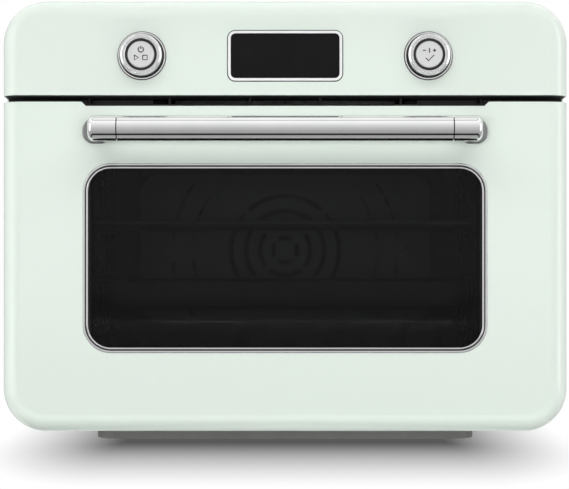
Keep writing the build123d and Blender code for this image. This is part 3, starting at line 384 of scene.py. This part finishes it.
# ---------------------------------------------------------------- insulation blanket
# A blanket of matted mineral fibre, cut from a roll and wrapped round the cavity, with no fixings of its own. Its
# surface is pale and matt, and dips a millimetre or two in places.
fibre = finish("mineral_fibre", (0.78, 0.74, 0.64), (0.62, 0.57, 0.46), (0.9, 1.0), 0.010, 0.0012, 0.9, (1, 1, 1),
               (0.3, 2.0, 2.0))
BLANKET_CELL = 0.004
BLANKET_DIPS = ((55.0, 0.0011), (190.0, 0.0004))         # how often the surface dips in a metre, and how deep
blanket_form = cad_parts["insulation_blanket"].data.copy()
blanket = bpy.data.objects.new("fibre_blanket", blanket_form)
bpy.context.collection.objects.link(blanket)
matting = blanket.modifiers.new("matting", "REMESH")
matting.mode, matting.voxel_size, matting.use_smooth_shade = "VOXEL", BLANKET_CELL, True
bpy.context.view_layer.update()
seen_form = blanket.evaluated_get(bpy.context.evaluated_depsgraph_get())
blanket_form = bpy.data.meshes.new_from_object(seen_form)
blanket.modifiers.clear()
blanket.data = blanket_form
blanket_form.materials.clear()
blanket_form.materials.append(fibre)
drawn = []
for vertex in blanket_form.vertices:
    depth = sum(reach * (1.0 + lumps(vertex.co * often)) for often, reach in BLANKET_DIPS)
    drawn.append(vertex.co - vertex.normal * depth)
for vertex, place in zip(blanket_form.vertices, drawn):
    vertex.co = place
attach(blanket, "oven_body")
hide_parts("insulation_blanket")

# ---------------------------------------------------------------- boards
# Glass-fibre boards under green lacquer stand behind the fascia and on the deck. The display and the controls'
# encoders, mounted on the front one, have black moulded housings.
board = finish("board_lacquer", (0.010, 0.085, 0.040), (0.014, 0.12, 0.055), (0.25, 0.4), 0.004, 0.0008, 0.2)
coat(board, "control_board", "power_board")
coat(nylon, "display_module", "encoders")

# ---------------------------------------------------------------- fascia and air outlet
# The control fascia and the door are pressed steel, enamelled like the cabinet. The outlet between them, through
# which the cooling air leaves, is black moulded plastic.
coat(enamel, "control_fascia", "door_shell")
outlet = finish("outlet_plastic", (0.008, 0.008, 0.008), (0.014, 0.014, 0.014), (0.4, 0.55), 0.01, 0.001, 0.2)
coat(outlet, "vent_grille")

# ---------------------------------------------------------------- display
# A smoked acrylic window, cast with a glossy face, is set in a thin moulded frame. The frame is plated bright, and
# is nearly white from the front.
bezel_plate = finish("bezel_plate", (0.96, 0.96, 0.962), (0.93, 0.935, 0.94), (0.10, 0.18), 0.02, 0.002, 0.05,
                     Metallic=0.25)
coat(bezel_plate, "display_bezel")
window = finish("smoked_window", (0.006, 0.006, 0.0065), (0.008, 0.008, 0.0085), (0.05, 0.09), 0.02, 0.003, 0.02,
                Specular_IOR_Level=0.12)
coat(window, "display_glass")

# ---------------------------------------------------------------- knobs and buttons
# Each control is a turned metal ring, plated and spun on its face, round a black moulded sleeve. A turned push
# button slides in the sleeve, and a round bezel frames the whole control on the fascia.
turned, taken, given = group("turned_face", [("Centre", "Vector", (0, 0, 0)), ("Pitch", "Float", 0.0004)],
                             [("Height", "Float"), ("Mask", "Float")])
spot = add(turned, "ShaderNodeTexCoord").outputs["Object"]
offset = add(turned, "ShaderNodeVectorMath", {0: spot, 1: taken["Centre"]}, operation="SUBTRACT")
flat = add(turned, "ShaderNodeVectorMath", {0: offset.outputs[0], 1: (1, 0, 1)}, operation="MULTIPLY")
radius = add(turned, "ShaderNodeVectorMath", {0: flat.outputs[0]}, operation="LENGTH")
rings = add(turned, "ShaderNodeMath", {0: radius.outputs["Value"], 1: taken["Pitch"]}, operation="DIVIDE")
cut = add(turned, "ShaderNodeTexNoise", {"W": rings.outputs[0], "Scale": 1.0, "Detail": 2.0},
          noise_dimensions="1D")
spread = add(turned, "ShaderNodeMapRange", {"Value": cut.outputs[0], "From Min": 0.3, "From Max": 0.7})
turned.links.new(cut.outputs[0], given["Height"])
turned.links.new(spread.outputs[0], given["Mask"])

# Ring band: one between two radii about an axis along Y, nothing elsewhere.
ring_band, taken, given = group("ring_band", [("Centre", "Vector", (0, 0, 0)), ("Inner", "Float", 0.0),
                                              ("Outer", "Float", 0.01)], [("Mask", "Float")])
spot = add(ring_band, "ShaderNodeTexCoord").outputs["Object"]
folded = add(ring_band, "ShaderNodeVectorMath", {0: spot}, operation="ABSOLUTE")
middle = add(ring_band, "ShaderNodeVectorMath", {0: taken["Centre"]}, operation="ABSOLUTE")
offset = add(ring_band, "ShaderNodeVectorMath", {0: folded.outputs[0], 1: middle.outputs[0]},
             operation="SUBTRACT")
flat = add(ring_band, "ShaderNodeVectorMath", {0: offset.outputs[0], 1: (1, 0, 1)}, operation="MULTIPLY")
radius = add(ring_band, "ShaderNodeVectorMath", {0: flat.outputs[0]}, operation="LENGTH").outputs["Value"]
above = add(ring_band, "ShaderNodeMath", {0: radius, 1: taken["Inner"]}, operation="GREATER_THAN")
below = add(ring_band, "ShaderNodeMath", {0: radius, 1: taken["Outer"]}, operation="LESS_THAN")
inside = add(ring_band, "ShaderNodeMath", {0: above.outputs[0], 1: below.outputs[0]}, operation="MULTIPLY")
ring_band.links.new(inside.outputs[0], given["Mask"])


# Painted shade: black laid on the controls' rings and bezels and on the handle's spigots, where gaps and seams lie
# in shade.
PAINTED_SHADE_BLACK = (0.012, 0.012, 0.012, 1)


def spun(name, centre, first, second, rough, strength, steps=(), **plain):
    """Metal turned on a lathe: fine rings about its own centre, and painted black between the radii in steps as
    painted shade.
    """
    made, tree, shader = new_material(name, **plain)
    cuts = use(tree, turned, Centre=centre, Pitch=0.0004)
    colour = use(tree, tone, Color=(*first, 1), Second=(*second, 1), Mask=cuts["Mask"])["Color"]
    for inner, outer in steps:
        band = use(tree, ring_band, Centre=centre, Inner=inner, Outer=outer)
        colour = use(tree, tone, Color=colour, Second=PAINTED_SHADE_BLACK, Mask=band["Mask"])["Color"]
    tree.links.new(colour, shader.inputs["Base Color"])
    gloss = use(tree, polish, Low=rough[0], High=rough[1], Mask=cuts["Mask"])
    tree.links.new(gloss["Roughness"], shader.inputs["Roughness"])
    bump = add(tree, "ShaderNodeBump", {"Height": cuts["Height"], "Strength": strength, "Distance": 0.0001})
    tree.links.new(bump.outputs[0], shader.inputs["Normal"])
    return made


def middle_of(node):
    """The centre of a CAD node's box."""
    low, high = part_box(node)
    return (low + high) / 2


RING_SHADE_STEPS = ((0.0181, 0.0300),)                         # the ring's skirt, painted black as painted shade
BEZEL_SHADE_STEPS = ((0.0, 0.0195), (0.0206, 0.0300))          # the bezel's inner wall and its outer edge, painted black as painted shade
for side in ("left", "right"):
    centre = middle_of(f"{side}_knob_ring")
    ring_metal = spun(f"{side}_ring_metal", centre, (0.84, 0.84, 0.845), (0.76, 0.76, 0.765), (0.16, 0.24), 0.10,
                      RING_SHADE_STEPS, Metallic=0.8)
    button_metal = spun(f"{side}_button_metal", centre, (0.78, 0.78, 0.785), (0.73, 0.73, 0.735), (0.30, 0.40),
                        0.15, Metallic=0.5)
    coat(ring_metal, f"{side}_knob_ring")
    coat(outlet, f"{side}_knob_core")
    coat(button_metal, f"{side}_button")

# Both bezels are one node, so their painted shade rings are measured about the right control and mirrored to the
# left.
reach = middle_of("right_knob_ring")
bezel_metal, tree, shader = new_material("bezel_metal", Metallic=0.6)
colour = (0.88, 0.88, 0.885, 1)
for inner, outer in BEZEL_SHADE_STEPS:
    band = use(tree, ring_band, Centre=reach, Inner=inner, Outer=outer)
    colour = use(tree, tone, Color=colour, Second=PAINTED_SHADE_BLACK, Mask=band["Mask"])["Color"]
tree.links.new(colour, shader.inputs["Base Color"])
wear = use(tree, grain, Size=0.006)
gloss = use(tree, polish, Low=0.10, High=0.20, Mask=wear["Mask"])
tree.links.new(gloss["Roughness"], shader.inputs["Roughness"])
coat(bezel_metal, "knob_bezels")

# Behind each button a coil of spring wire stands on the core's floor.
for side in ("left", "right"):
    coil = bpy.data.objects.new(f"{side}_coil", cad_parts[f"{side}_button_spring"].data.copy())
    bpy.context.collection.objects.link(coil)
    coil.material_slots[0].material = screw_steel
    low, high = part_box(f"{side}_button_spring")
    centre = middle_of(f"{side}_button_spring")
    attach(coil, f"{side}_knob")
    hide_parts(f"{side}_button_spring")
    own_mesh(coil)

# The marks on the buttons are printed in black ink, a few hundredths of a millimetre proud.
ink = finish("printed_ink", (0.010, 0.010, 0.010), (0.016, 0.016, 0.016), (0.35, 0.5), 0.002, 0.0004, 0.2)
STROKE, INK = 0.00048, 0.00004


def printed(name, body, side, strokes):
    """Ink strokes on a button's face. Each stroke is a list of (right, up) points in metres from its centre."""
    middle = middle_of(f"{side}_button")
    line = bpy.data.curves.new(name, "CURVE")
    line.dimensions, line.bevel_depth, line.bevel_resolution, line.resolution_u = "3D", STROKE, 2, 12
    for points in strokes:
        spline = line.splines.new("POLY")
        spline.points.add(len(points) - 1)
        for point, (right, up) in zip(spline.points, points):
            point.co = (right, up, 0, 1)
    made = bpy.data.objects.new(name, line)
    line.use_fill_caps = True
    line.materials.append(ink)
    made.scale = (1, 1, 0.25)
    made.rotation_euler = (math.radians(90), 0, 0)
    made.location = (middle.x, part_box(f"{side}_button")[0].y - INK, middle.z)
    bpy.context.collection.objects.link(made)
    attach(made, body)


def arc(radius, start, end, lift=0.0, steps=24):
    """Points along a circle's arc, from start to end in degrees, its centre raised by lift."""
    angles = [math.radians(start + (end - start) * i / steps) for i in range(steps + 1)]
    return [(radius * math.cos(a), lift + radius * math.sin(a)) for a in angles]


MARK, LIFT, DROP = 0.0023, 0.0042, -0.0028
printed("power_mark", "left_push", "left", [arc(MARK, 120, 420, LIFT), [(0, LIFT + 0.0004), (0, LIFT + 0.0031)]])
PLAY = [(-0.0056, DROP + 0.0021), (-0.0056, DROP - 0.0021), (-0.0019, DROP), (-0.0056, DROP + 0.0021)]
printed("play_mark", "left_push", "left", [PLAY])
STOP = [(x, DROP + up) for x, up in ((0.0017, 0.0019), (0.0055, 0.0019), (0.0055, -0.0019), (0.0017, -0.0019),
                                     (0.0017, 0.0019))]
printed("stop_mark", "left_push", "left", [STOP])
printed("minus_mark", "right_push", "right", [[(-0.0058, LIFT - 0.0008), (-0.0030, LIFT - 0.0008)]])
printed("bar_mark", "right_push", "right", [[(0, LIFT + 0.0013), (0, LIFT - 0.0029)]])
printed("plus_mark", "right_push", "right", [[(0.0030, LIFT - 0.0008), (0.0058, LIFT - 0.0008)],
                                             [(0.0044, LIFT + 0.0006), (0.0044, LIFT - 0.0022)]])
TICK = [(-0.0032, DROP - 0.0004), (-0.0008, DROP - 0.0028), (0.0040, DROP + 0.0022)]
printed("tick_mark", "right_push", "right", [TICK])

# ---------------------------------------------------------------- trims and handle
# Polished chrome plate on the door's trim, the handle's tube and its cast ends, which are screwed from inside the
# door.
# The cast ends hold painted shade: they darken towards the door's skin, and their spigots are painted black in the
# seams. Thin black beads are painted shade too: they draw the dark lines in the trim's groove and round the
# outsides of the trim, of the display's frame and of the controls' bezels against the enamel.
chrome = finish("chrome_plate", (0.92, 0.92, 0.925), (0.88, 0.885, 0.89), (0.03, 0.06), 0.03, 0.004, 0.02,
                Metallic=1.0)
coat(chrome, "window_trim", "handle_bar")
cast_chrome, tree, shader = new_material("cast_chrome", Metallic=1.0)
ROOT_SHADE_FROM, ROOT_SHADE_TO = -0.214, -0.200                      # painted shade: the plate darkens from here back to the door's skin
SPIGOT_TO = 0.1439                                       # the spigots in the bar's ends, painted black as the seams' shade, stop here
spot = add(tree, "ShaderNodeSeparateXYZ", {0: add(tree, "ShaderNodeTexCoord").outputs["Object"]})
root_shade = add(tree, "ShaderNodeMapRange", {"Value": spot.outputs["Y"], "From Min": ROOT_SHADE_FROM, "From Max": ROOT_SHADE_TO})
colour = use(tree, tone, Color=(0.92, 0.92, 0.925, 1), Second=(0.36, 0.375, 0.37, 1), Mask=root_shade.outputs[0])
across = add(tree, "ShaderNodeMath", {0: spot.outputs["X"]}, operation="ABSOLUTE")
spigot_shade = add(tree, "ShaderNodeMath", {0: across.outputs[0], 1: SPIGOT_TO}, operation="LESS_THAN")
colour = use(tree, tone, Color=colour["Color"], Second=PAINTED_SHADE_BLACK, Mask=spigot_shade.outputs[0])
tree.links.new(colour["Color"], shader.inputs["Base Color"])
cast = use(tree, grain, Size=0.004)
gloss = use(tree, polish, Low=0.04, High=0.08, Mask=cast["Mask"])
tree.links.new(gloss["Roughness"], shader.inputs["Roughness"])
bump = add(tree, "ShaderNodeBump", {"Height": cast["Height"], "Strength": 0.02, "Distance": 0.0008})
tree.links.new(bump.outputs[0], shader.inputs["Normal"])
coat(cast_chrome, "handle_brackets")


BEND_STEPS = 12


def bead(name, body, middle, half_w, half_h, bend, radius):
    """A thin black bead round a rectangle with round corners, seen from the front, centred on middle; it is
    painted shade.
    """
    line = bpy.data.curves.new(name, "CURVE")
    line.dimensions, line.bevel_depth, line.bevel_resolution = "3D", radius, 2
    across, up = half_w - bend, half_h - bend
    corners = ((across, up), (-across, up), (-across, -up), (across, -up))
    turns = [math.radians(90 * step / BEND_STEPS) for step in range(BEND_STEPS + 1)]
    points = []
    for quarter, (right, up) in enumerate(corners):
        for turn in turns:
            angle = turn + quarter * math.pi / 2
            points.append((right + bend * math.cos(angle), up + bend * math.sin(angle)))
    spline = line.splines.new("POLY")
    spline.points.add(len(points) - 1)
    spline.use_cyclic_u = True
    for point, (right, up) in zip(spline.points, points):
        point.co = (middle[0] + right, middle[1], middle[2] + up, 1)
    made = bpy.data.objects.new(name, line)
    line.materials.append(silicone)
    bpy.context.collection.objects.link(made)
    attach(made, body)


def framed(name, body, node, inset, corner, radius, depth):
    """A bead that follows a node's front outline, drawn in by inset and set depth behind its front."""
    low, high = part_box(node)
    middle = ((low.x + high.x) / 2, low.y + depth, (low.z + high.z) / 2)
    bead(name, body, middle, (high.x - low.x) / 2 - inset, (high.z - low.z) / 2 - inset, corner - inset, radius)


# Painted shade: each bead is a black line where a gap or groove lies in shade.
framed("trim_groove_bead", "door", "window_trim", 0.0023, 0.0244, 0.00060, 0.0014)
framed("trim_shade_bead", "door", "window_trim", -0.0001, 0.0244, 0.0002, 0.0018)
framed("display_shade_bead", "oven_body", "display_bezel", -0.0003, 0.0065, 0.00050, 0.0014)
low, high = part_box("knob_bezels")
BEZEL_REACH = (high.z - low.z) / 2
for name, x in (("left_bezel_bead", low.x + BEZEL_REACH), ("right_bezel_bead", high.x - BEZEL_REACH)):
    seat = (x, low.y + 0.0015, (low.z + high.z) / 2)
    bead(name, "oven_body", seat, BEZEL_REACH, BEZEL_REACH, BEZEL_REACH, 0.00035)

# ---------------------------------------------------------------- door glass
# Two panes of toughened glass held in the door. The outer one is dark tinted, so that the cavity is only just
# seen, and the inner one is clear with a trace of green. Both are very slightly wavy, as toughened glass is.
def pane(name, colour, bend, share):
    """Glass that bends light a little, and lets a share of the direct light through to what stands behind it."""
    made, tree, shader = new_material(name, Base_Color=colour, Transmission_Weight=1.0, IOR=bend, Roughness=0.0)
    shade = add(tree, "ShaderNodeLightPath").outputs["Is Shadow Ray"]
    solid = add(tree, "ShaderNodeMapRange", {"Value": shade, "To Min": 1.0, "To Max": 1.0 - share})
    tree.links.new(solid.outputs["Result"], shader.inputs["Alpha"])
    ripple = use(tree, grain, Size=0.05)
    bump = add(tree, "ShaderNodeBump", {"Height": ripple["Height"], "Strength": 0.004, "Distance": 0.002})
    tree.links.new(bump.outputs[0], shader.inputs["Normal"])
    return made


coat(pane("tinted_glass", (0.34, 0.34, 0.342, 1), 1.245, 0.7), "outer_glass")
coat(pane("clear_glass", (0.93, 0.96, 0.94, 1), 1.18, 0.85), "inner_glass")

# ---------------------------------------------------------------- baking tray and drip tray
# The baking tray is pressed steel in speckled black enamel, and its rim runs on the side ladders. The drip tray is
# moulded in dark grey plastic, and slides in under the door.
pan = flecked("speckled_enamel", (0.008, 0.008, 0.009), (0.16, 0.16, 0.17), 0.0016, 0.15, (0.34, 0.46), 0.1)
coat(pan, "baking_tray")
tray_plastic = finish("grey_tray_plastic", (0.115, 0.115, 0.112), (0.135, 0.135, 0.132), (0.45, 0.55), 0.02,
                      0.0009, 0.25)
coat(tray_plastic, "drip_tray")
